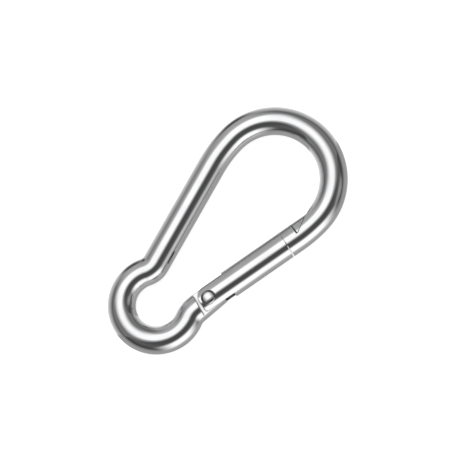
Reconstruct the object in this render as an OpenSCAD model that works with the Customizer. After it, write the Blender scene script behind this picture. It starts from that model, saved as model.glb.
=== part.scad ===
// Pear-shaped spring snap hook bent from one round bar, with an inward-opening
// sprung gate. It lies flat: +X runs from the small eye to the large bow, +Y
// towards the plain leg, +Z up. The origin is the middle of its bounding box.

/* [Overall] */
// Length over the small eye and the large bow
overall_l = 100; // [98:0.5:104]
// Width over the large bow
overall_w = 50; // [49:0.5:51]
// Diameter of the bar that the body is bent from
bar_d = 9.7; // [9.4:0.1:10]
// Inside diameter of the small eye
eye_d = 14.2; // [13.9:0.1:14.4]

/* [Bends] */
// Slope of the plain leg from the long axis, in degrees
spine_slope = 13.6; // [13:0.1:14]
// Slope of the gate from the long axis, in degrees
gate_slope = 12.4; // [12:0.1:13]
// Centreline radius of the easing bends between the bow and the legs
ease_r = 45; // [40:1:50]
// Angle turned by the easing bend on the plain leg
spine_ease = 15; // [13:0.5:17]
// Angle turned by the easing bend at the nose
gate_ease = 12; // [11:0.5:13]
// Centreline radius of the reverse bend between the small eye and the plain leg
spine_neck_r = 6.2; // [5.8:0.1:6.6]
// Centreline radius of the reverse bend between the small eye and the tongue
tongue_neck_r = 8; // [7:0.5:9]

/* [Gate] */
// Distance along the gate's axis from the eye centre to the rivet
pin_x = 15.95; // [15.8:0.05:16.2]
// How far the rivet sits off the gate's axis, towards the outside
pin_offset = 0.4; // [0.3:0.1:0.5]
// Length of the gate from the rivet to its nose joint
gate_l = 31.75; // [31.5:0.05:32]
// Length of the fork beyond the rivet, at the hinge end
fork_back = 3.2; // [3:0.1:3.4]
// Depth of the fork's slot on the other side of the rivet
fork_depth = 8; // [7.8:0.1:9]
// Width of the fork's slot
fork_gap = 5.74; // [5.6:0.02:5.9]
// Radius that rounds the fork's inner corner
fork_round = 4.2; // [4:0.1:4.4]

/* [Tongue] */
// Slope of the tongue's sides from the gate's axis, in degrees
tongue_tilt = 6; // [5:0.5:7]
// How far the tongue's middle lies outside the gate's axis beside the rivet
tongue_out = 0.1; // [0:0.05:0.2]
// Distance from the rivet back to the shoulder, where the full round bar begins
shoulder_back = 4.4; // [4.2:0.1:4.6]
// Slope of the shoulder from square, in degrees
shoulder_tilt = 5; // [4:0.2:6]

/* [Rivet] */
// Diameter of the rivet's shank
pin_d = 3.2; // [3:0.1:3.4]
// Diameter of the rivet's domed heads
head_d = 4.25; // [4:0.05:4.4]
// Diameter of the counterbore round each head
counterbore_d = 5; // [4.8:0.1:5.2]
// Height of the counterbore's floor above the mid-plane
counterbore_z = 4; // [3.9:0.05:4.1]

/* [Nose] */
// Length of the slotted stub that the gate's head hooks behind
stub_l = 4.7; // [4.6:0.05:4.9]
// Width of the slot in the stub
nose_slot_w = 3.3; // [3.1:0.1:3.5]
// Thickness of the blade that joins the head to the gate
blade_t = 3; // [2.8:0.1:3]
// Angle of the head's sloping back from the gate's axis
head_angle = 33; // [31:1:35]

/* [Spring] */
// Diameter of the bore in the gate
bore_d = 4.7; // [4.6:0.05:4.8]
// Depth of the bore past the fork's slot
bore_l = 18; // [17:0.5:19]
// Diameter of the plunger
plunger_d = 4.6; // [4.5:0.05:4.6]
// Length of the plunger's full-width part
plunger_l = 7; // [6.5:0.1:7.5]
// Diameter of the spring wire
wire_d = 0.6; // [0.5:0.05:0.6]
// Number of spring coils
coils = 9; // [8:1:10]

/* [Hidden] */
$fn = 96;

bar_r = bar_d / 2;
bow_r = overall_w / 2 - bar_r;
eye_r = eye_d / 2 + bar_r;
eye_x = -overall_l / 2 + eye_r + bar_r;
bow_x = overall_l / 2 - bow_r - bar_r;
span = bow_x - eye_x;
past = 1;              // how far a cutting tool runs past the metal
run_gap = 0.05;        // radial clearance of a running fit
lap = 0.15;            // how far a linking bend runs into the lengths it joins
lap_step = 0.05;       // how much thinner that bend is, so that it stays inside them

// Each leg is drawn in its own frame: x along the leg's axis from the foot of
// the eye centre, y towards the outside of the hook.
function leg_to_bow(ease) = bow_r + (ease_r - bow_r) * (1 - cos(ease));
function leg_to_eye(slope, ease) = leg_to_bow(ease) - span * sin(slope);
function ease_start(slope, ease) = span * cos(slope) - (ease_r - bow_r) * sin(ease);
function neck_end(h, r) = sqrt((eye_r + r) ^ 2 - (h + r) ^ 2);
function neck_angle(h, r) = atan2(h + r, neck_end(h, r));

spine_h = leg_to_eye(spine_slope, spine_ease);
gate_h = leg_to_eye(gate_slope, gate_ease);
tongue_slope = gate_slope - tongue_tilt;
tongue_x = pin_x * cos(tongue_tilt) - (gate_h + tongue_out) * sin(tongue_tilt);
tongue_h = pin_x * sin(tongue_tilt) + (gate_h + tongue_out) * cos(tongue_tilt);
nose_x = pin_x + gate_l + run_gap;
ease_x = ease_start(gate_slope, gate_ease);

side_gap = 0.07;       // clearance on each side of the tongue in the fork's slot
tongue_t = fork_gap - 2 * side_gap;
tongue_l = 4.4;        // tongue past the rivet
tongue_y = 3.8;        // milled inner side of the tongue
tongue_round = 2.6;    // rounded corner of the tongue that works the plunger
corner_r = 0.9;        // outer corner of the fork
side_step = 0.25;      // how far a rounded corner starts inside the bar's edge
nose_relief = 0.1;     // gap on the outer half of the nose joint, cut from the stub
gate_relief = 0.05;    // and from the gate
nose_tilt = 3.5;       // slope of both sides of that gap from square
swing_gap = 0.1;       // clearance between the swinging head and the stub
swing_r = norm([stub_l + gate_l + run_gap, bar_r + pin_offset]) + swing_gap;
head_low = 0.45;       // height of the head's lower edge above the gate's axis
blade_low = 0.1;       // underside of the blade above the gate's axis
blade_in = 0.75;       // how far the blade runs into the head
slot_floor = -0.3;     // floor of the stub's slot, past the gate's axis
notch_gap = 0.1;       // room between the head and the nose
spot_h = 0.4;          // straight rim of a rivet head
spigot_d = 2.6;
spigot_l = 2;
spring_d = 4;          // outside diameter of the spring
end_gap = 0.02;        // keeps the spring's end turns off the metal
ring_steps = 16;       // rings of points in each turn of the spring
wire_sides = 8;

// Bar bent to radius r about the origin, from one polar angle to another.
module bent_bar(r, from, to, section_r = bar_r)
    rotate([0, 0, from])
        rotate_extrude(angle = to - from)
            translate([r, 0]) circle(section_r);

// Bend that laps into the length of bar at each of its ends.
module link_bar(r, from, to) {
    lap_angle = lap / r * 180 / PI;
    bent_bar(r, from - lap_angle, to + lap_angle, bar_r - lap_step);
}

module straight_bar(from, to, r = bar_r)
    translate([from, 0, 0]) rotate([0, 90, 0]) cylinder(r = r, h = to - from);

module plate(t)
    translate([0, 0, -t / 2]) linear_extrude(t) children();

module spine_frame()
    translate([eye_x, 0, 0]) rotate([0, 0, spine_slope]) translate([0, spine_h, 0]) children();

module gate_leg_frame()
    translate([eye_x, 0, 0]) mirror([0, 1, 0]) rotate([0, 0, gate_slope])
        translate([0, gate_h, 0]) children();

module tongue_frame()
    translate([eye_x, 0, 0]) mirror([0, 1, 0]) rotate([0, 0, tongue_slope])
        translate([0, tongue_h, 0]) children();

// Frame of the gate: origin on the gate's axis beside the rivet, x along the
// gate towards the nose, y towards the inside of the hook.
module gate_frame()
    gate_leg_frame() translate([pin_x, 0, 0]) mirror([0, 1, 0]) children();

// Reverse bend of radius r between the small eye and a leg at height h.
module neck(h, r)
    translate([neck_end(h, r), r, 0]) link_bar(r, 180 + neck_angle(h, r), 270);

module ease(x, angle)
    translate([x, -ease_r, 0]) link_bar(ease_r, 90 - angle, 90);

module bar_path() {
    spine_start = neck_angle(spine_h, spine_neck_r) + spine_slope;
    tongue_start = 360 - neck_angle(tongue_h, tongue_neck_r) - tongue_slope;
    spine_ease_x = ease_start(spine_slope, spine_ease);
    translate([eye_x, 0, 0]) bent_bar(eye_r, spine_start, tongue_start);
    translate([bow_x, 0, 0])
        bent_bar(bow_r, gate_ease - gate_slope - 90, 90 - spine_ease + spine_slope);
    spine_frame() {
        neck(spine_h, spine_neck_r);
        straight_bar(neck_end(spine_h, spine_neck_r), spine_ease_x);
        ease(spine_ease_x, spine_ease);
    }
    tongue_frame() {
        neck(tongue_h, tongue_neck_r);
        straight_bar(neck_end(tongue_h, tongue_neck_r), tongue_x + tongue_l + past);
    }
    gate_leg_frame() {
        straight_bar(nose_x, ease_x);
        ease(ease_x, gate_ease);
    }
}

// The two broad flats that leave the tongue, cut from a tilted shoulder.
module tongue_flats()
    for (side = [0, 1]) mirror([0, 0, side])
        translate([-shoulder_back, 0, tongue_t / 2]) rotate([0, 0, -shoulder_tilt])
            translate([0, -bar_d, 0]) cube([shoulder_back + tongue_l + 2 * past, 2 * bar_d, bar_r]);

// Plan outline of the tongue: milled flat on its inner side, with a square outer
// corner and a rounded inner one that works the plunger as the gate swings.
module tongue_outline() {
    centre = [tongue_l - tongue_round, tongue_y - tongue_round];
    translate([-bar_d, -bar_d]) square([bar_d + tongue_l, bar_d + centre.y]);
    translate([-bar_d, -bar_d]) square([bar_d + centre.x, bar_d + tongue_y]);
    translate(centre) circle(tongue_round);
}

module past_tongue()
    plate(bar_d + 2 * past) difference() {
        translate([-shoulder_back, -bar_d - past])
            square([shoulder_back + tongue_l + 2 * past, 2 * (bar_d + past)]);
        tongue_outline();
    }

// Sloping notch that the gate's head drops into. It runs out well past the bar,
// which has begun to bend inwards there.
module nose_notch() {
    back_x = gate_l + run_gap + stub_l;
    low_y = head_low - notch_gap;
    top_y = bar_r + 3 * past;
    run = (top_y - low_y) / tan(head_angle);
    tip_x = swing_r + notch_gap / sin(head_angle);
    plate(bar_d + 2 * past)
        polygon([[back_x, top_y], [back_x, low_y], [tip_x, low_y], [tip_x + run, top_y]]);
}

// What is cut away on the outer half of the nose joint: it runs from a sloping
// edge at edge_x to far_x.
module outer_half(edge_x, far_x)
    plate(bar_d + 2 * past)
        polygon([[edge_x, 0], [edge_x - bar_d * tan(nose_tilt), -bar_d], [far_x, -bar_d], [far_x, 0]]);

module nose_slot() {
    slot_l = stub_l + 2 * past;
    translate([gate_l - past, slot_floor, -nose_slot_w / 2])
        cube([slot_l + past, bar_r - slot_floor + past, nose_slot_w]);
}

module body() color("silver")
    difference() {
        bar_path();
        gate_frame() {
            tongue_flats();
            past_tongue();
            translate([0, -pin_offset, 0])
                cylinder(d = pin_d + 2 * run_gap, h = bar_d, center = true);
            nose_slot();
            nose_notch();
            outer_half(gate_l + run_gap + nose_relief, gate_l - past);
        }
    }

// Plan outline of the gate: forked end with one large and one small round, set
// out from the half-width of the flats beside the fork's slot.
module gate_outline() {
    cheek_y = sqrt(bar_r ^ 2 - (fork_gap / 2) ^ 2);
    top_x = fork_round - fork_back;
    centre_y = cheek_y + side_step - fork_round;
    translate([top_x, -bar_d]) square([gate_l - top_x, 2 * bar_d]);
    intersection() {
        translate([top_x, centre_y]) circle(fork_round);
        translate([-fork_back, centre_y]) square([fork_round, fork_round]);
    }
    translate([-fork_back, corner_r - cheek_y])
        square([fork_round + past, centre_y + cheek_y - corner_r]);
    translate([corner_r - fork_back, -cheek_y]) square([fork_round + past, corner_r]);
    translate([corner_r - fork_back, corner_r - cheek_y]) circle(corner_r);
}

// Head behind the blade: a wedge of the same round bar.
module gate_head() {
    rise = bar_r - head_low;
    difference() {
        intersection() {
            straight_bar(gate_l, swing_r + rise / tan(head_angle));
            plate(bar_d)
                polygon([[gate_l + stub_l, bar_r + past], [gate_l + stub_l, head_low], [swing_r, head_low],
                    [swing_r + (rise + past) / tan(head_angle), bar_r + past]]);
        }
        translate([0, -pin_offset, 0]) cylinder(r = swing_r, h = bar_d + past, center = true);
    }
}

module gate_blade()
    intersection() {
        straight_bar(gate_l - past, swing_r + past);
        translate([gate_l - past, blade_low, -blade_t / 2])
            cube([swing_r + blade_in - gate_l + past, bar_r, blade_t]);
    }

module gate() color("gainsboro")
    gate_frame() difference() {
        union() {
            intersection() {
                straight_bar(-fork_back, gate_l);
                plate(bar_d) gate_outline();
            }
            gate_blade();
            gate_head();
        }
        translate([-fork_back - past, -bar_d, -fork_gap / 2])
            cube([fork_depth + fork_back + past, 2 * bar_d, fork_gap]);
        outer_half(gate_l - gate_relief, gate_l + past);
        straight_bar(fork_depth - past, fork_depth + bore_l, bore_d / 2);
        translate([0, -pin_offset, 0]) cylinder(d = pin_d, h = bar_d, center = true);
        for (side = [0, 1]) mirror([0, 0, side])
            translate([0, -pin_offset, counterbore_z]) cylinder(d = counterbore_d, h = bar_r);
    }

// Dome that caps a rivet head: a slice of a sphere on a short straight rim.
module rivet_head() {
    dome_h = bar_r - counterbore_z - spot_h;
    dome_r = ((head_d / 2) ^ 2 + dome_h ^ 2) / (2 * dome_h);
    translate([0, 0, counterbore_z]) cylinder(d = head_d, h = spot_h);
    intersection() {
        translate([0, 0, counterbore_z + spot_h + dome_h - dome_r]) sphere(dome_r);
        translate([0, 0, counterbore_z + spot_h]) cylinder(d = head_d, h = dome_h);
    }
}

module hinge_rivet() color("lightgray")
    gate_frame() translate([0, -pin_offset, 0]) {
        cylinder(d = pin_d, h = 2 * counterbore_z, center = true);
        for (side = [0, 1]) mirror([0, 0, side]) rivet_head();
    }

module plunger() color("darkgray") {
    face_x = tongue_l + run_gap;
    gate_frame() {
        straight_bar(face_x, face_x + plunger_l, plunger_d / 2);
        straight_bar(face_x + plunger_l, face_x + plunger_l + spigot_l, spigot_d / 2);
    }
}

// Round wire wound into a helix along x. Each ring of points lies in a plane
// through the helix's axis, which is nearly square to the wire at this pitch.
module gate_spring() color("dimgray") {
    first_x = tongue_l + run_gap + plunger_l + wire_d / 2 + end_gap;
    last_x = fork_depth + bore_l - wire_d / 2 - end_gap;
    coil_r = (spring_d - wire_d) / 2;
    rings = coils * ring_steps;
    points = [
        for (i = [0 : rings], j = [0 : wire_sides - 1])
            let (turn = 360 * i / ring_steps, side = 360 * j / wire_sides)
            let (r = coil_r + wire_d / 2 * cos(side))
            [first_x + (last_x - first_x) * i / rings + wire_d / 2 * sin(side), r * cos(turn), r * sin(turn)]
    ];
    walls = [
        for (i = [0 : rings - 1], j = [0 : wire_sides - 1], half = [0, 1])
            let (a = i * wire_sides + j, b = i * wire_sides + (j + 1) % wire_sides)
            half == 0 ? [a, b, b + wire_sides] : [a, b + wire_sides, a + wire_sides]
    ];
    start_cap = [for (j = [wire_sides - 1 : -1 : 0]) j];
    end_cap = [for (j = [0 : wire_sides - 1]) rings * wire_sides + j];
    gate_frame() polyhedron(points, concat(walls, [start_cap, end_cap]), convexity = 10);
}

body();
gate();
hinge_rivet();
plunger();
gate_spring();
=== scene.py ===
import math

import bmesh
import bpy
from mathutils import Matrix, Vector


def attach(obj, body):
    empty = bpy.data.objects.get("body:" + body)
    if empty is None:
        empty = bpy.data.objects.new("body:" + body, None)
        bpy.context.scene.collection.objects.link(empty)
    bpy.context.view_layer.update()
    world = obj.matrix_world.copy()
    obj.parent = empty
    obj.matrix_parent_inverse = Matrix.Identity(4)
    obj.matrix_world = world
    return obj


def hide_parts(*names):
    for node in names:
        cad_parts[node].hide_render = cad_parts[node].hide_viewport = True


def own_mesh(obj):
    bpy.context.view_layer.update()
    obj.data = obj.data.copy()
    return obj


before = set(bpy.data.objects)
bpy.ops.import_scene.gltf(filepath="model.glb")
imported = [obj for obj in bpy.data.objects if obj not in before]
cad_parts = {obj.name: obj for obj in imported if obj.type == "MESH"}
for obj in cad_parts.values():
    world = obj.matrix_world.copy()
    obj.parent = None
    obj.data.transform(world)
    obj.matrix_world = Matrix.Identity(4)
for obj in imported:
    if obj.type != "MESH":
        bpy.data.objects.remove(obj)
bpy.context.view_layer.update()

MM = 0.001

# ---------------------------------------------------------------- dimensions, in millimetres, as in the CAD
BAR_R = 4.85
EYE_X, EYE_R = -33.2, 11.95
BOW_X, BOW_R = 25.0, 20.15
SPAN = BOW_X - EYE_X
SPINE_SLOPE, GATE_SLOPE = 13.6, 12.4
EASE_R, SPINE_EASE, GATE_EASE = 45.0, 15.0, 12.0
SPINE_NECK_R, TONGUE_NECK_R = 6.2, 8.0
PIN_X, PIN_OFFSET = 15.95, 0.4
GATE_L = 31.75
FORK_BACK, FORK_DEPTH, FORK_GAP, FORK_ROUND = 3.2, 8.0, 5.74, 4.2
CORNER_R, SIDE_STEP = 0.9, 0.25
TONGUE_T, TONGUE_L, TONGUE_Y, TONGUE_ROUND = 5.6, 4.4, 3.8, 2.6
TONGUE_TILT, TONGUE_OUT = 6.0, 0.1
SHOULDER_BACK, SHOULDER_TILT = 4.4, 5.0
PIN_R, HEAD_R, COUNTERBORE_R, COUNTERBORE_Z = 1.6, 2.125, 2.5, 4.0
STUB_L, NOSE_SLOT_W, BLADE_T, HEAD_ANGLE = 4.7, 3.3, 3.0, 33.0
RUN_GAP, NOSE_RELIEF, GATE_RELIEF, NOSE_TILT, NOTCH_GAP = 0.05, 0.1, 0.05, 3.5, 0.1
HEAD_LOW, BLADE_LOW, BLADE_IN, SLOT_FLOOR = 0.45, 0.1, 0.75, -0.3
BORE_R, BORE_L = 2.35, 18.0
PLUNGER_L, END_GAP = 7.0, 0.02
SWING_GAP = 0.1           # clearance between the swinging head and the stub
SWING_R = math.hypot(STUB_L + GATE_L + RUN_GAP, BAR_R + PIN_OFFSET) + SWING_GAP
EDGE_BREAK = 0.06         # width of the broken sharp edges
ON_BAR = 0.04             # how close to the bar's radius a point counts as on its round
PAST = 1.0                # how far a cutting tool runs past the metal
WIDE = 2 * BAR_R          # reach of the tools that cut right across the bar
SIDES = 96


def sind(a):
    return math.sin(math.radians(a))


def cosd(a):
    return math.cos(math.radians(a))


# ---------------------------------------------------------------- the bar's centreline
def leg_height(slope, ease):
    return BOW_R + (EASE_R - BOW_R) * (1 - cosd(ease)) - SPAN * sind(slope)


def ease_start(slope, ease):
    return SPAN * cosd(slope) - (EASE_R - BOW_R) * sind(ease)


def neck_end(h, r):
    return math.sqrt((EYE_R + r) ** 2 - (h + r) ** 2)


def neck_angle(h, r):
    return math.degrees(math.atan2(h + r, neck_end(h, r)))


SPINE_H = leg_height(SPINE_SLOPE, SPINE_EASE)
GATE_H = leg_height(GATE_SLOPE, GATE_EASE)
TONGUE_SLOPE = GATE_SLOPE - TONGUE_TILT
TONGUE_X = PIN_X * cosd(TONGUE_TILT) - (GATE_H + TONGUE_OUT) * sind(TONGUE_TILT)
TONGUE_H = PIN_X * sind(TONGUE_TILT) + (GATE_H + TONGUE_OUT) * cosd(TONGUE_TILT)


def leg(slope, h, side):
    """Maps a point in a leg's own frame (x along it, y outwards) to the row frame."""
    def place(x, y):
        return (
            EYE_X + x * cosd(slope) - (y + h) * sind(slope),
            side * (x * sind(slope) + (y + h) * cosd(slope)),
        )
    return place


def round_centre(x):
    return lambda px, py: (x + px, py)


def arc(place, cx, cy, r, start, end, step=1.5):
    n = max(2, int(abs(end - start) / step))
    angles = [start + (end - start) * i / n for i in range(n + 1)]
    return [place(cx + r * cosd(a), cy + r * sind(a)) for a in angles]


def line(place, start, end, step=1.0):
    n = max(1, int(abs(end - start) / step))
    return [place(start + (end - start) * i / n, 0) for i in range(n + 1)]


spine = leg(SPINE_SLOPE, SPINE_H, 1)
gate_leg = leg(GATE_SLOPE, GATE_H, -1)
tongue = leg(TONGUE_SLOPE, TONGUE_H, -1)


def bar_path():
    spine_top = ease_start(SPINE_SLOPE, SPINE_EASE)
    nose_top = ease_start(GATE_SLOPE, GATE_EASE)
    tongue_neck, spine_neck = neck_end(TONGUE_H, TONGUE_NECK_R), neck_end(SPINE_H, SPINE_NECK_R)
    tongue_turn, spine_turn = neck_angle(TONGUE_H, TONGUE_NECK_R), neck_angle(SPINE_H, SPINE_NECK_R)
    parts = [
        line(tongue, TONGUE_X + TONGUE_L + PAST, tongue_neck),
        arc(tongue, tongue_neck, TONGUE_NECK_R, TONGUE_NECK_R, 270, 180 + tongue_turn),
        arc(round_centre(EYE_X), 0, 0, EYE_R, 360 - tongue_turn - TONGUE_SLOPE, spine_turn + SPINE_SLOPE),
        arc(spine, spine_neck, SPINE_NECK_R, SPINE_NECK_R, 180 + spine_turn, 270),
        line(spine, spine_neck, spine_top),
        arc(spine, spine_top, -EASE_R, EASE_R, 90, 90 - SPINE_EASE, 1.0),
        arc(round_centre(BOW_X), 0, 0, BOW_R, 90 - SPINE_EASE + SPINE_SLOPE, GATE_EASE - GATE_SLOPE - 90),
        arc(gate_leg, nose_top, -EASE_R, EASE_R, 90 - GATE_EASE, 90, 1.0),
        line(gate_leg, nose_top, PIN_X + GATE_L + RUN_GAP),
    ]
    path = parts[0]
    for part in parts[1:]:
        path = path + part[1:]
    return [Vector((x, y, 0)) for x, y in path]


def gate_point(x, y, z=0.0):
    """Row-frame point, in mm, of a point in the gate's frame: x from rivet to nose, y inwards, z up."""
    px, py = gate_leg(PIN_X + x, -y)
    return Vector((px, py, z))


# ---------------------------------------------------------------- mesh helpers
def new_object(name, verts, faces):
    mesh = bpy.data.meshes.new(name)
    mesh.from_pydata([v * MM for v in verts], [], faces)
    mesh.validate()
    bm = bmesh.new()
    bm.from_mesh(mesh)
    bmesh.ops.recalc_face_normals(bm, faces=bm.faces)
    bm.to_mesh(mesh)
    bm.free()
    obj = bpy.data.objects.new(name, mesh)
    bpy.context.scene.collection.objects.link(obj)
    return obj


def sweep(name, path, radius, sides=SIDES):
    """Round bar along a path in the XY plane, with flat ends."""
    verts, faces = [], []
    last = len(path) - 1
    for i, p in enumerate(path):
        t = (path[min(i + 1, last)] - path[max(i - 1, 0)]).normalized()
        n = Vector((-t.y, t.x, 0))
        for k in range(sides):
            a = 2 * math.pi * (k + 0.5) / sides
            verts.append(p + (n * math.cos(a) + Vector((0, 0, 1)) * math.sin(a)) * radius)
    for i in range(last):
        for k in range(sides):
            a, b = i * sides + k, i * sides + (k + 1) % sides
            faces.append((a, b, b + sides, a + sides))
    faces.append(tuple(range(sides)))
    faces.append(tuple(last * sides + k for k in range(sides)))
    return new_object(name, verts, faces)


def prism(name, outline, low, high):
    """Plan outline in the gate's frame, extruded from z low to z high."""
    n = len(outline)
    verts = [gate_point(x, y, low) for x, y in outline] + [gate_point(x, y, high) for x, y in outline]
    faces = [tuple(range(n)), tuple(range(n, 2 * n))]
    faces += [(k, (k + 1) % n, n + (k + 1) % n, n + k) for k in range(n)]
    return new_object(name, verts, faces)


def lathe(name, profile, sides=64):
    """Solid turned about the rivet's axis from (radius, z) points that start and end on the axis."""
    centre = gate_point(0, -PIN_OFFSET)
    inner = profile[1:-1]
    verts = [centre + Vector((0, 0, profile[0][1])), centre + Vector((0, 0, profile[-1][1]))]
    for r, z in inner:
        for k in range(sides):
            a = 2 * math.pi * k / sides
            verts.append(centre + Vector((r * math.cos(a), r * math.sin(a), z)))
    faces = []
    top = 2 + (len(inner) - 1) * sides
    for k in range(sides):
        j = (k + 1) % sides
        faces.append((0, 2 + j, 2 + k))
        faces.append((1, top + k, top + j))
        for i in range(len(inner) - 1):
            a = 2 + i * sides
            faces.append((a + k, a + j, a + sides + j, a + sides + k))
    return new_object(name, verts, faces)


def box_outline(x0, x1, y0, y1):
    return [(x0, y0), (x1, y0), (x1, y1), (x0, y1)]


def round_part(cx, cy, r, start, end, n=12):
    return [(cx + r * cosd(start + (end - start) * i / n), cy + r * sind(start + (end - start) * i / n))
            for i in range(n + 1)]


def apply_modifiers(obj):
    graph = bpy.context.evaluated_depsgraph_get()
    graph.update()
    mesh = bpy.data.meshes.new_from_object(obj.evaluated_get(graph))
    obj.modifiers.clear()
    old = obj.data
    obj.data = mesh
    bpy.data.meshes.remove(old)


def combine(obj, operation, *tools):
    for tool in tools:
        mod = obj.modifiers.new("shape", "BOOLEAN")
        mod.operation = operation
        mod.solver = "EXACT"
        mod.object = tool
        apply_modifiers(obj)
        bpy.data.objects.remove(tool)


def finish_edges(obj, slot_of, width=EDGE_BREAK):
    """Breaks the sharp edges, and gives each face the material slot that slot_of says."""
    bm = bmesh.new()
    bm.from_mesh(obj.data)
    bmesh.ops.remove_doubles(bm, verts=bm.verts, dist=0.02 * MM)
    bmesh.ops.dissolve_degenerate(bm, edges=bm.edges, dist=0.01 * MM)
    bm.to_mesh(obj.data)
    bm.free()
    if width:
        mod = obj.modifiers.new("edges", "BEVEL")
        mod.width = width * MM
        mod.segments = 2
        mod.limit_method = "ANGLE"
        mod.angle_limit = math.radians(33)
        mod.use_clamp_overlap = False
        mod.miter_outer = "MITER_SHARP"
        apply_modifiers(obj)
    for face in obj.data.polygons:
        face.material_index = slot_of(face.center / MM, face.normal)
    obj.data.shade_smooth()
    obj.data.set_sharp_from_angle(angle=math.radians(40))


# ---------------------------------------------------------------- body
def tongue_flat(side):
    c, s = cosd(SHOULDER_TILT), -sind(SHOULDER_TILT)
    corners = box_outline(0, 1.5 * WIDE, -WIDE, WIDE)
    outline = [(-SHOULDER_BACK + x * c - y * s, x * s + y * c) for x, y in corners]
    low, high = sorted((side * TONGUE_T / 2, side * (BAR_R + PAST)))
    return prism("flat", outline, low, high)


def past_tongue():
    cx, cy = TONGUE_L - TONGUE_ROUND, TONGUE_Y - TONGUE_ROUND
    far = TONGUE_L + 3 * PAST
    outline = [(TONGUE_L, -WIDE)] + round_part(cx, cy, TONGUE_ROUND, 0, 90, 20)
    outline += [(-SHOULDER_BACK, TONGUE_Y), (-SHOULDER_BACK, WIDE), (far, WIDE), (far, -WIDE)]
    return prism("past_tongue", outline, -WIDE, WIDE)


def nose_notch():
    back = GATE_L + RUN_GAP + STUB_L
    low = HEAD_LOW - NOTCH_GAP
    high = BAR_R + 3 * PAST
    tip = SWING_R + NOTCH_GAP / sind(HEAD_ANGLE)
    run = (high - low) / math.tan(math.radians(HEAD_ANGLE))
    return prism("notch", [(back, high), (back, low), (tip, low), (tip + run, high)], -WIDE, WIDE)


def outer_half(edge, far):
    """Outline of the cut on the outer half of the nose joint, from a sloping edge to far."""
    lean = WIDE * math.tan(math.radians(NOSE_TILT))
    return [(edge, 0), (edge - lean, -WIDE), (far, -WIDE), (far, 0)]


def pin_hole(name, r, low, high, sides=64):
    turns = [360 * k / sides for k in range(sides)]
    outline = [(r * cosd(a), r * sind(a) - PIN_OFFSET) for a in turns]
    return prism(name, outline, low, high)


body = sweep("snap_hook_bar", bar_path(), BAR_R)
nose_slot = box_outline(GATE_L - PAST, GATE_L + STUB_L + PAST, SLOT_FLOOR, BAR_R + PAST)
relief = outer_half(GATE_L + RUN_GAP + NOSE_RELIEF, GATE_L - PAST)
combine(
    body, "DIFFERENCE",
    tongue_flat(1), tongue_flat(-1), past_tongue(),
    pin_hole("hole", PIN_R + RUN_GAP, -WIDE, WIDE),
    prism("slot", nose_slot, -NOSE_SLOT_W / 2, NOSE_SLOT_W / 2),
    nose_notch(),
    prism("relief", relief, -WIDE, WIDE),
)


NOSE_REACH = 12           # how far past the gate's end the nose's cuts go


def body_radial(point):
    """Vector from the bar's centreline to a point, near the hinge and the nose; None elsewhere."""
    x, y = (point - gate_point(0, 0)).dot(ALONG), (point - gate_point(0, 0)).dot(INWARD)
    if not (-SHOULDER_BACK - PAST < x < GATE_L + NOSE_REACH and abs(y) < WIDE):
        return None
    if x < TONGUE_L + 2 * PAST:
        flat = (point - tongue_origin).dot(TONGUE_INWARD) * TONGUE_INWARD
    else:
        bend = x + PIN_X - ease_start(GATE_SLOPE, GATE_EASE)
        flat = y * INWARD
        if bend > 0:
            from_centre = bend * ALONG + (y - EASE_R) * INWARD
            flat = from_centre.normalized() * (from_centre.length - EASE_R)
    return flat + Vector((0, 0, point.z))


def gate_radial(point):
    return (point - gate_point(0, 0)).dot(INWARD) * INWARD + Vector((0, 0, point.z))


def on_round(radial, normal):
    return radial is None or (abs(radial.length - BAR_R) < ON_BAR and radial.normalized().dot(normal) > 0.97)


LARGE_FACE = 0.5          # mm2; smaller faces belong to broken edges or curved cuts


def true_normals(obj, radial_at):
    """Shades the round exactly, and the larger milled faces flat, beside the broken edges."""
    normals = []
    for face in obj.data.polygons:
        flat = face.material_index and face.area > LARGE_FACE * MM ** 2
        for index in face.vertices:
            radial = None if face.material_index else radial_at(obj.data.vertices[index].co / MM)
            if flat:
                normals.append(face.normal.copy())
            elif radial is not None:
                normals.append(radial.normalized())
            else:
                normals.append(Vector((0, 0, 0)))
    obj.data.normals_split_custom_set(normals)


def body_face(centre, normal):
    return 0 if on_round(body_radial(centre), normal) else 1


ALONG = Vector((cosd(GATE_SLOPE), -sind(GATE_SLOPE), 0))
INWARD = Vector((sind(GATE_SLOPE), cosd(GATE_SLOPE), 0))
TONGUE_INWARD = Vector((sind(TONGUE_SLOPE), cosd(TONGUE_SLOPE), 0))
tongue_origin = Vector((*tongue(TONGUE_X, 0), 0))
finish_edges(body, body_face)
true_normals(body, body_radial)

# ---------------------------------------------------------------- gate
fork_low = -math.sqrt(BAR_R ** 2 - (FORK_GAP / 2) ** 2)
top_x = FORK_ROUND - FORK_BACK
centre_y = -fork_low + SIDE_STEP - FORK_ROUND
fork_outline = [(top_x, WIDE)]
fork_outline += round_part(top_x, centre_y, FORK_ROUND, 90, 180, 20)
fork_outline += round_part(CORNER_R - FORK_BACK, fork_low + CORNER_R, CORNER_R, 180, 270, 8)
fork_outline += [(top_x, fork_low), (top_x, -WIDE), (GATE_L + PAST, -WIDE), (GATE_L + PAST, WIDE)]

sleeve_path = [gate_point(-FORK_BACK + (FORK_BACK + GATE_L) * i / 16, 0) for i in range(17)]
gate = sweep("gate_sleeve", sleeve_path, BAR_R)
combine(gate, "INTERSECT", prism("outline", fork_outline, -WIDE, WIDE))

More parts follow.
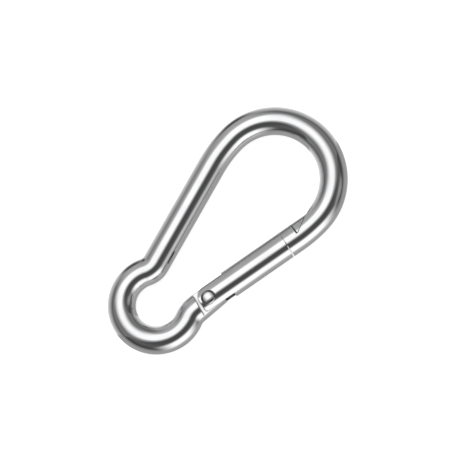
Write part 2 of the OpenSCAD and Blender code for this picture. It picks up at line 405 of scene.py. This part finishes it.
head_run = (BAR_R + PAST - HEAD_LOW) / math.tan(math.radians(HEAD_ANGLE))
head_path = [gate_point(GATE_L + 1 + i, 0) for i in range(13)]
head = sweep("head", head_path, BAR_R)
swing = [(SWING_R * cosd(a / 4), SWING_R * sind(a / 4) - PIN_OFFSET) for a in range(0, 41)]
head_outline = [p for p in swing if p[1] > HEAD_LOW]
head_outline = [(math.sqrt(SWING_R ** 2 - (HEAD_LOW + PIN_OFFSET) ** 2), HEAD_LOW)] + head_outline
head_outline += [(SWING_R + head_run, BAR_R + PAST), (SWING_R, HEAD_LOW)]
combine(head, "INTERSECT", prism("wedge", head_outline, -WIDE, WIDE))

blade_l = SWING_R + PAST - GATE_L + PAST
blade = sweep("blade", [gate_point(GATE_L - PAST + i * blade_l / 6, 0) for i in range(7)], BAR_R)
blade_plan = box_outline(GATE_L - PAST / 2, SWING_R + BLADE_IN, BLADE_LOW, BAR_R + PAST)
combine(blade, "INTERSECT", prism("blade_plan", blade_plan, -BLADE_T / 2, BLADE_T / 2))
combine(gate, "UNION", blade, head)

bore = sweep("bore", [gate_point(FORK_DEPTH - PAST, 0), gate_point(FORK_DEPTH + BORE_L, 0)], BORE_R, 48)
combine(
    gate, "DIFFERENCE",
    prism("fork", box_outline(-FORK_BACK - PAST, FORK_DEPTH, -WIDE, WIDE), -FORK_GAP / 2, FORK_GAP / 2),
    prism("relief", outer_half(GATE_L - GATE_RELIEF, GATE_L + PAST), -WIDE, WIDE),
    bore,
    pin_hole("hole", PIN_R, -WIDE, WIDE),
    pin_hole("counterbore", COUNTERBORE_R, COUNTERBORE_Z, WIDE),
    pin_hole("counterbore", COUNTERBORE_R, -WIDE, -COUNTERBORE_Z),
)


def gate_face(centre, normal):
    """0 on the polished round, 1 on milled faces and 2 inside the fork and the bore."""
    radial = gate_radial(centre)
    if on_round(radial, normal):
        return 0
    x = (centre - gate_point(0, 0)).dot(ALONG)
    # Slot 2, inside the fork and the bore, takes the near black painted shade.
    return 2 if x < FORK_DEPTH + BORE_L + PAST and abs(centre.z) < FORK_GAP / 2 + 0.01 else 1


finish_edges(gate, gate_face)
true_normals(gate, gate_radial)

# ---------------------------------------------------------------- rivet
SPOT_H = 0.4
dome_h = BAR_R - COUNTERBORE_Z - SPOT_H
rim = 0.12
half = [(PIN_R, COUNTERBORE_Z), (HEAD_R - rim, COUNTERBORE_Z), (HEAD_R, COUNTERBORE_Z + rim)]
half += [(HEAD_R, COUNTERBORE_Z + SPOT_H - rim)]
dome_r = (HEAD_R ** 2 + dome_h ** 2) / (2 * dome_h)
reach = math.degrees(math.asin(HEAD_R / dome_r))
for i in range(1, 13):
    a = reach * (1 - i / 13) * 0.97
    half.append((dome_r * sind(a), BAR_R - dome_r + dome_r * cosd(a)))
profile = [(0, -BAR_R)] + [(r, -z) for r, z in reversed(half)] + half + [(0, BAR_R)]
rivet = lathe("gate_rivet", profile)
rivet.data.shade_smooth()
rivet.data.set_sharp_from_angle(angle=math.radians(40))


# ---------------------------------------------------------------- spring
COIL_R, WIRE_R, COILS = 1.7, 0.3, 9
SPRING_START = TONGUE_L + RUN_GAP + PLUNGER_L + WIRE_R + END_GAP
SPRING_END = FORK_DEPTH + BORE_L - WIRE_R - END_GAP


def coil(name, per_turn=24, sides=12):
    """Round wire wound about the gate's axis, from the plunger to the bore's end."""
    rings = COILS * per_turn
    verts, faces = [], []
    for i in range(rings + 1):
        turn = 360 * i / per_turn
        x = SPRING_START + (SPRING_END - SPRING_START) * i / rings
        for k in range(sides):
            a = 360 * k / sides
            r = COIL_R + WIRE_R * cosd(a)
            verts.append(gate_point(x + WIRE_R * sind(a), r * cosd(turn), r * sind(turn)))
    for i in range(rings):
        for k in range(sides):
            a, b = i * sides + k, i * sides + (k + 1) % sides
            faces.append((a, b, b + sides, a + sides))
    faces += [tuple(range(sides)), tuple(rings * sides + k for k in range(sides))]
    return new_object(name, verts, faces)


spring = coil("spring_coil")
spring.data.shade_smooth()
spring.data.set_sharp_from_angle(angle=math.radians(50))

# ---------------------------------------------------------------- materials
class Nodes:
    """Short names for building one material's node tree."""

    def __init__(self, name):
        self.material = bpy.data.materials.new(name)
        self.material.use_nodes = True
        self.tree = self.material.node_tree
        self.shader = self.tree.nodes["Principled BSDF"]
        self.place = self.add("ShaderNodeTexCoord").outputs["Object"]

    def add(self, kind, **settings):
        node = self.tree.nodes.new(kind)
        for key, value in settings.items():
            setattr(node, key, value)
        return node

    def link(self, a, b):
        self.tree.links.new(a, b)

    def noise(self, scale, stretch=(1, 1, 1), turn=0.0, detail=3.0):
        mapping = self.add("ShaderNodeMapping")
        mapping.inputs["Rotation"].default_value = (0, 0, math.radians(turn))
        mapping.inputs["Scale"].default_value = stretch
        self.link(self.place, mapping.inputs["Vector"])
        node = self.add("ShaderNodeTexNoise")
        node.inputs["Scale"].default_value = scale
        node.inputs["Detail"].default_value = detail
        self.link(mapping.outputs["Vector"], node.inputs["Vector"])
        return node.outputs["Fac"]

    def remap(self, value, low, high, to_low, to_high):
        node = self.add("ShaderNodeMapRange")
        for socket, number in zip(("From Min", "From Max", "To Min", "To Max"), (low, high, to_low, to_high)):
            node.inputs[socket].default_value = number
        self.link(value, node.inputs["Value"])
        return node.outputs["Result"]

    def math(self, operation, a, b):
        node = self.add("ShaderNodeMath", operation=operation)
        for socket, value in zip(node.inputs, (a, b)):
            if isinstance(value, (int, float)):
                socket.default_value = value
            else:
                self.link(value, socket)
        return node.outputs[0]

    def mix_colour(self, factor, a, b):
        node = self.add("ShaderNodeMix", data_type="RGBA")
        self.link(factor, node.inputs["Factor"])
        for socket, value in ((node.inputs[6], a), (node.inputs[7], b)):
            if isinstance(value, tuple):
                socket.default_value = (*value, 1)
            else:
                self.link(value, socket)
        return node.outputs[2]

    def edge_mask(self, radius):
        """1 close to an edge and 0 on the open surface."""
        bevel = self.add("ShaderNodeBevel", samples=6)
        bevel.inputs["Radius"].default_value = radius * MM
        geometry = self.add("ShaderNodeNewGeometry")
        dot = self.add("ShaderNodeVectorMath", operation="DOT_PRODUCT")
        self.link(bevel.outputs["Normal"], dot.inputs[0])
        self.link(geometry.outputs["Normal"], dot.inputs[1])
        return self.remap(dot.outputs["Value"], 0.98, 0.8, 0.0, 1.0)

    def crevice(self, reach):
        """0 deep in a crevice narrower than reach, in mm, and 1 in the open: an ambient occlusion mask for
        painted shade.
        """
        shade = self.add("ShaderNodeAmbientOcclusion", samples=8)
        shade.inputs["Distance"].default_value = reach * MM
        return self.remap(shade.outputs["AO"], 0.5, 0.88, 0.0, 1.0)


# Near black colour of the painted shade that ambient occlusion lays into crevices and joints.
CREVICE_SHADE_COLOUR = (0.045, 0.042, 0.04)


def steel(name, tone, rough, grain, wear=0.0, marks=None, shade_reach=0.0):
    """Bare or plated steel: cloudy polish, fine grain along one direction, and brighter, scuffed edges.

    grain is (scale, stretch, turn, bump height in mm) of the fine lines, and marks the same for coarser
    tool marks. The last argument is the reach, in mm, of the painted shade that darkens the colour in
    crevices by ambient occlusion."""
    n = Nodes(name)
    n.shader.inputs["Metallic"].default_value = 1.0
    cloud = n.noise(160, detail=4.0)
    fine = n.noise(grain[0], grain[1], grain[2], detail=2.0)
    roughness = n.math("ADD", n.remap(cloud, 0.35, 0.65, -0.25 * rough, 0.25 * rough),
                       n.remap(fine, 0.3, 0.7, 0.85 * rough, 1.15 * rough))
    dark = tuple(c * 0.93 for c in tone)
    colour = n.mix_colour(n.remap(cloud, 0.3, 0.7, 0.0, 1.0), tone, dark)
    if wear:
        edge = n.edge_mask(0.25)
        scuffs = n.noise(900, detail=2.0)
        amount = n.math("MULTIPLY", edge, n.remap(scuffs, 0.35, 0.65, 0.0, wear))
        colour = n.mix_colour(amount, colour, tuple(min(1, c * 1.12) for c in tone))
        roughness = n.math("ADD", roughness, n.math("MULTIPLY", amount, 0.12))
    # Painted shade: ambient occlusion darkens the colour in crevices, at joints and along the shoulder.
    if shade_reach:
        colour = n.mix_colour(n.crevice(shade_reach), CREVICE_SHADE_COLOUR, colour)
    n.link(colour, n.shader.inputs["Base Color"])
    n.link(roughness, n.shader.inputs["Roughness"])
    height = n.math("MULTIPLY", fine, grain[3])
    if marks:
        coarse = n.noise(marks[0], marks[1], marks[2], detail=1.0)
        height = n.math("ADD", height, n.math("MULTIPLY", coarse, marks[3]))
    bump = n.add("ShaderNodeBump")
    bump.inputs["Strength"].default_value = 1.0
    bump.inputs["Distance"].default_value = MM
    n.link(height, bump.inputs["Height"])
    n.link(bump.outputs["Normal"], n.shader.inputs["Normal"])
    return n.material


# The reach given last to the polished, turned, milled and riveted finishes is the reach of their painted
# crevice shade, in mm.
polished = steel("polished_bar", (0.80, 0.80, 0.81), 0.10, (2200, (1, 1, 1), 0.0, 0.0004),
                 wear=0.8, shade_reach=0.9)
turned = steel("polished_gate", (0.80, 0.80, 0.81), 0.10, (2600, (0.06, 1, 1), GATE_SLOPE, 0.0005),
               wear=0.8, shade_reach=0.9)
milled = steel("milled_faces", (0.76, 0.76, 0.77), 0.2, (2500, (1, 0.05, 1), GATE_SLOPE, 0.002), wear=0.6,
               marks=(700, (1, 0.02, 1), GATE_SLOPE, 0.003), shade_reach=0.8)
# Painted shade: a near black finish on the fork's slot and the bore stands in for the shade inside them.
painted_slot_shade = steel("painted_shade_bore", (0.025, 0.024, 0.023), 0.5, (1800, (1, 1, 1), 0.0, 0.004),
                   marks=(500, (1, 0.05, 1), GATE_SLOPE, 0.006))
riveted = steel("rivet_steel_finish", (0.82, 0.82, 0.82), 0.13, (1500, (1, 1, 1), 0.0, 0.001), wear=0.5,
                marks=(500, (1, 1, 1), 0.0, 0.002), shade_reach=0.5)
drawn = steel("plunger_finish", (0.2, 0.2, 0.2), 0.35, (2500, (1, 0.1, 0.1), GATE_SLOPE, 0.002), wear=0.6)
wire = steel("spring_wire_finish", (0.42, 0.41, 0.40), 0.32, (3000, (1, 1, 1), 0.0, 0.002))

for piece, node, slot, ride, materials in (
    (body, "body", "body_steel", "body", (polished, milled)),
    (gate, "gate", "gate_steel", "gate", (turned, milled, painted_slot_shade)),
    (rivet, "hinge_rivet", "rivet_steel", "gate", (riveted,)),
    (spring, "gate_spring", "spring_steel", "gate", (wire,)),
):
    piece.data.materials.clear()
    for material in materials:
        piece.data.materials.append(material)
    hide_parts(node)
    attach(piece, ride)
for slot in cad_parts["plunger"].material_slots:
    slot.material = drawn

# The spring's foot, at the bore's end, in metres, and a mesh of the spring's own.
spring_foot = gate_point(SPRING_END + WIRE_R, 0) * MM
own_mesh(spring)

# ---------------------------------------------------------------- camera
TILT = 10.0               # from straight above, towards the outside of the gate
ROLL = 34.7               # the gate's direction above the picture's horizontal
WIDTH = 152.3             # what the picture spans at the object, in mm
AIM = (0.41, 2.88)        # the picture's middle, right and up of the object's origin, in mm
DISTANCE = 1.2
along, outward = ALONG, -INWARD
towards = cosd(TILT) * Vector((0, 0, 1)) + sind(TILT) * outward
across = towards.cross(along)
right = cosd(ROLL) * along - sind(ROLL) * across
up = sind(ROLL) * along + cosd(ROLL) * across
aim = (right * AIM[0] + up * AIM[1]) * MM
camera_data = bpy.data.cameras.new("camera")
camera_data.sensor_width = 36
camera_data.lens = 36 * DISTANCE / (WIDTH * MM)
camera_data.clip_start, camera_data.clip_end = 0.01, 20
camera = bpy.data.objects.new("camera", camera_data)
facing = Matrix((right, up, towards)).transposed().to_4x4()
camera.matrix_world = Matrix.Translation(aim + towards * DISTANCE) @ facing
bpy.context.scene.collection.objects.link(camera)
bpy.context.scene.camera = camera

# ---------------------------------------------------------------- floor
floor = new_object("floor", [Vector((x, y, -BAR_R - 0.02)) for x, y in
                             ((-3000, -3000), (3000, -3000), (3000, 3000), (-3000, 3000))], [(0, 1, 2, 3)])
paper = Nodes("pale_floor")
paper.shader.inputs["Base Color"].default_value = (0.9, 0.9, 0.9, 1)
paper.shader.inputs["Roughness"].default_value = 0.9
paper.shader.inputs["Emission Color"].default_value = (1, 1, 1, 1)
paper.shader.inputs["Emission Strength"].default_value = 0.78
floor.data.materials.append(paper.material)
floor.visible_glossy = False

# ---------------------------------------------------------------- studio light
# The surroundings are a soft tent: one broad white window on each side of straight above, a dark gap between
# them, grey wings at the two ends, and paler walls lower down. angle_u and angle_v say how far a direction
# leans from the camera's, in degrees, along the gate and across it.
world = bpy.data.worlds.new("studio")
bpy.context.scene.world = world
world.use_nodes = True
tree = world.node_tree
background = tree.nodes["Background"]


def wnode(kind, **settings):
    node = tree.nodes.new(kind)
    for key, value in settings.items():
        setattr(node, key, value)
    return node


def wmath(operation, *values):
    node = wnode("ShaderNodeMath", operation=operation)
    for socket, value in zip(node.inputs, values):
        if isinstance(value, (int, float)):
            socket.default_value = value
        else:
            tree.links.new(value, socket)
    return node.outputs[0]


def wdot(axis):
    node = wnode("ShaderNodeVectorMath", operation="DOT_PRODUCT")
    tree.links.new(direction, node.inputs[0])
    node.inputs[1].default_value = axis
    return node.outputs["Value"]


def wramp(value, stops, low, high):
    """A smooth curve of brightness through (angle, brightness) stops."""
    ramp = wnode("ShaderNodeValToRGB")
    ramp.color_ramp.interpolation = "EASE"
    elements = ramp.color_ramp.elements
    elements[0].position = (stops[0][0] - low) / (high - low)
    elements[-1].position = (stops[-1][0] - low) / (high - low)
    for angle, level in stops[1:-1]:
        elements.new((angle - low) / (high - low))
    for element, (angle, level) in zip(elements, stops):
        element.position = (angle - low) / (high - low)
        element.color = (level, level, level, 1)
    tree.links.new(wmath("DIVIDE", wmath("SUBTRACT", value, low), high - low), ramp.inputs["Fac"])
    return ramp.outputs["Color"]


direction = wnode("ShaderNodeTexCoord").outputs["Generated"]
lengthways, crossways = wdot(along), wdot(across)
from_view = wmath("MULTIPLY", wmath("ARCCOSINE", wdot(towards)), 180 / math.pi)
radius = wmath("SQRT", wmath("ADD", wmath("ADD", wmath("MULTIPLY", lengthways, lengthways),
                                          wmath("MULTIPLY", crossways, crossways)), 1e-6))
angle_u = wmath("DIVIDE", wmath("MULTIPLY", from_view, lengthways), radius)
angle_v = wmath("DIVIDE", wmath("MULTIPLY", from_view, crossways), radius)
beyond = wmath("GREATER_THAN", angle_v, 0)


def wmix(factor, a, b):
    node = wnode("ShaderNodeMix", data_type="RGBA")
    for socket, value in ((node.inputs["Factor"], factor), (node.inputs[6], a), (node.inputs[7], b)):
        tree.links.new(value, socket)
    return node.outputs[2]


def wspot(u, v, stops):
    """Brightness by distance, in degrees, from one direction of the surroundings."""
    du, dv = wmath("SUBTRACT", angle_u, u), wmath("SUBTRACT", angle_v, v)
    away = wmath("SQRT", wmath("ADD", wmath("MULTIPLY", du, du), wmath("MULTIPLY", dv, dv)))
    return wramp(away, stops, 0, 180)


middle = wramp(angle_v, [
    (-170, 0.42), (-108, 0.42), (-95, 0.62), (-80, 1.3), (-52, 1.35), (-42, 0.5), (-34, 0.085), (-6, 0.075),
    (4, 0.5), (12, 1.25), (44, 1.3), (56, 0.55), (66, 0.45), (93, 0.42), (101, 0.08),
    (122, 0.08), (136, 0.6), (170, 1.0),
], -180, 180)
near_wings = wramp(from_view, [
    (0, 0.12), (50, 0.13), (62, 0.08), (76, 0.07), (88, 0.25), (100, 0.38), (120, 0.4),
    (150, 0.45), (170, 0.8),
], 0, 180)
far_wings = wramp(from_view, [
    (0, 0.12), (50, 0.2), (68, 0.22), (80, 0.12), (90, 0.25), (100, 0.42), (120, 0.62),
    (135, 0.85), (150, 0.95), (170, 1.1),
], 0, 180)
near_share = wramp(wmath("ABSOLUTE", angle_u), [(0, 0.0), (12, 0.0), (55, 1.0), (180, 1.0)], 0, 180)
far_share = wramp(wmath("ABSOLUTE", angle_u), [(0, 0.0), (6, 0.0), (46, 1.0), (180, 1.0)], 0, 180)
tent = wmix(wmix(beyond, near_share, far_share), middle, wmix(beyond, near_wings, far_wings))
tent = wmath("ADD", tent, wspot(50, -32, [(0, 0.3), (8, 0.22), (20, 0.0), (180, 0.0)]))
seen = wnode("ShaderNodeLightPath").outputs["Is Camera Ray"]
backdrop = wnode("ShaderNodeMix", data_type="RGBA")
tree.links.new(seen, backdrop.inputs["Factor"])
tree.links.new(tent, backdrop.inputs[6])
backdrop.inputs[7].default_value = (1, 1, 1, 1)
tree.links.new(backdrop.outputs[2], background.inputs["Color"])

lamp_data = bpy.data.lights.new("softbox", "AREA")
lamp_data.size = 0.7
lamp_data.energy = 6.0
lamp = bpy.data.objects.new("softbox", lamp_data)
lamp_from = (towards + 0.6 * across).normalized()
lamp.location = lamp_from * 1.1
lamp.rotation_mode = "QUATERNION"
lamp.rotation_quaternion = lamp_from.to_track_quat("Z", "Y")
lamp.visible_glossy = False
bpy.context.scene.collection.objects.link(lamp)

bpy.context.scene.view_settings.view_transform = "Standard"
bpy.context.scene.view_settings.look = "None"
